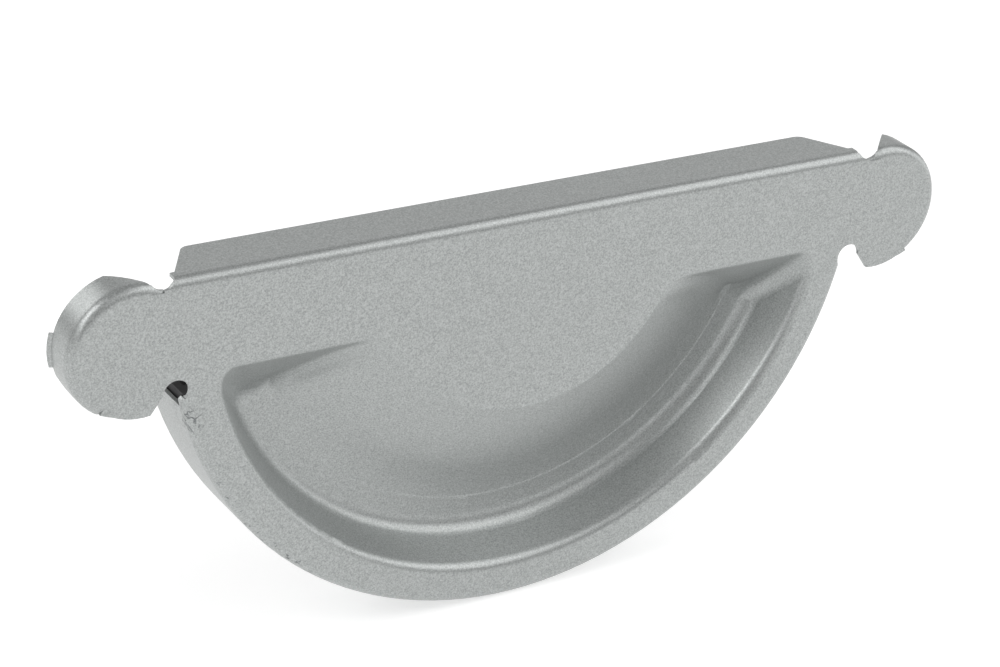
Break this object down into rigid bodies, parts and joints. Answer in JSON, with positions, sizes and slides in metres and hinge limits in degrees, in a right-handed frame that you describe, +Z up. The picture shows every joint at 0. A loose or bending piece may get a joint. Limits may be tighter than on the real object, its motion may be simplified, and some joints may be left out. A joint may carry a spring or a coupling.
{
  "type": "gutter end cap",
  "caption": "Half-round gutter end cap of folded silver sheet with a pressed crescent, a top flange, flanged bead ears and a rubber seal inside its rim.",
  "frame": {"origin": "on the gutter's axis, in the plane where the gutter's end stops in the seal", "axes": "+X to the right seen from the front, +Y back along the gutter's axis, out of the socket, +Z up; the face looks along -Y"},
  "size_m": [0.1644, 0.0134, 0.0708],
  "materials": {
    "coated_steel": "silver metallic coil coating, satin, fine grain",
    "black_rubber": "matt black"
  },
  "bodies": {
    "root": {"end_cap": "coated_steel", "rim_seal": "black_rubber"}
  },
  "joints": []
}
